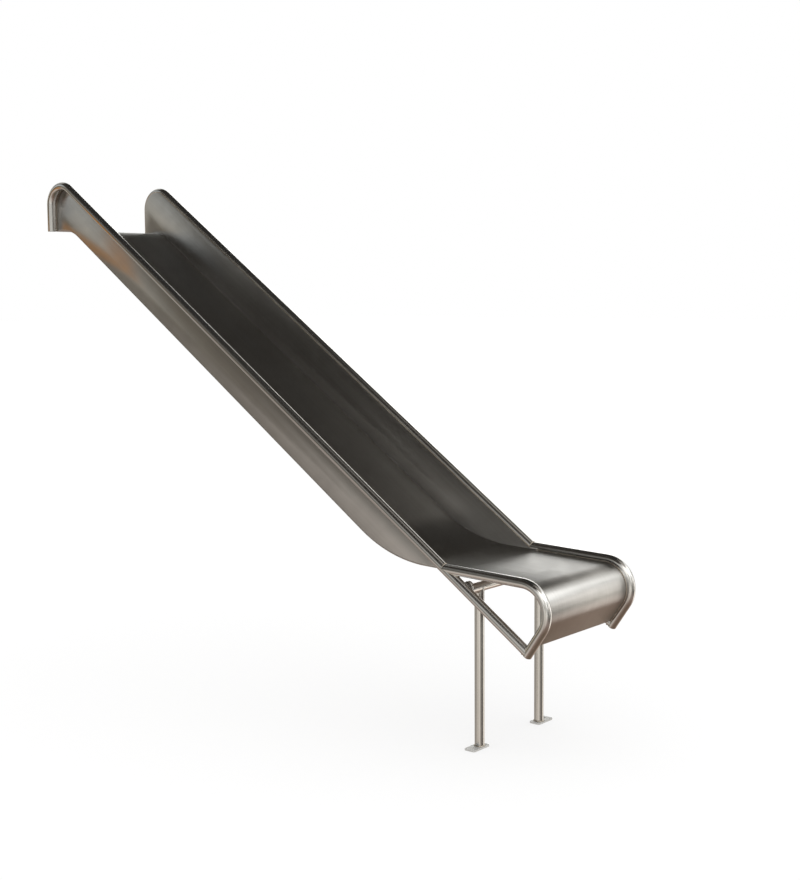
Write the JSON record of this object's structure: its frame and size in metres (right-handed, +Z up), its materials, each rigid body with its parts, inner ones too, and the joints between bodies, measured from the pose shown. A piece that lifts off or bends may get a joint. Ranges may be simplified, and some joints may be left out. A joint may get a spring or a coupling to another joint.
{
  "type": "playground slide",
  "caption": "Straight open trough slide of brushed sheet steel edged with round tube, with a bent-down nose and a low post frame under the run-out.",
  "frame": {"origin": "middle of the flat underside of the entry deck, which rests on the platform", "axes": "+X downhill, towards the nose; +Y to the rider's left; +Z up"},
  "size_m": [2.4793, 0.558, 1.9916],
  "materials": {
    "sheet": "satin sheet, brushed along the slide, warm brown tint",
    "rail_tube": "satin drawn tube",
    "frame_tube": "satin tube, slightly warm",
    "frame_plate": "satin plate with rounded corners",
    "cap": "dull welded cap, heat tinted"
  },
  "bodies": {
    "root": {"entry_deck": "sheet", "rollover": "sheet", "slope_bed": "sheet", "lower_bend": "sheet", "runout_bed": "sheet", "nose_sheet": "sheet", "cross_tube": "frame_tube", "right_head_cheek": "sheet", "right_slope_cheek": "sheet", "right_foot_cheek": "sheet", "right_head_bow": "rail_tube", "right_slope_rail": "rail_tube", "right_brace": "rail_tube", "right_exit_rail": "rail_tube", "right_nose_bow": "rail_tube", "right_upright_cap": "cap", "right_return_cap": "cap", "right_lug": "frame_plate", "right_post": "frame_tube", "right_foot_plate": "frame_plate", "left_head_cheek": "sheet", "left_slope_cheek": "sheet", "left_foot_cheek": "sheet", "left_head_bow": "rail_tube", "left_slope_rail": "rail_tube", "left_brace": "rail_tube", "left_exit_rail": "rail_tube", "left_nose_bow": "rail_tube", "left_upright_cap": "cap", "left_return_cap": "cap", "left_lug": "frame_plate", "left_post": "frame_tube", "left_foot_plate": "frame_plate"}
  },
  "joints": []
}
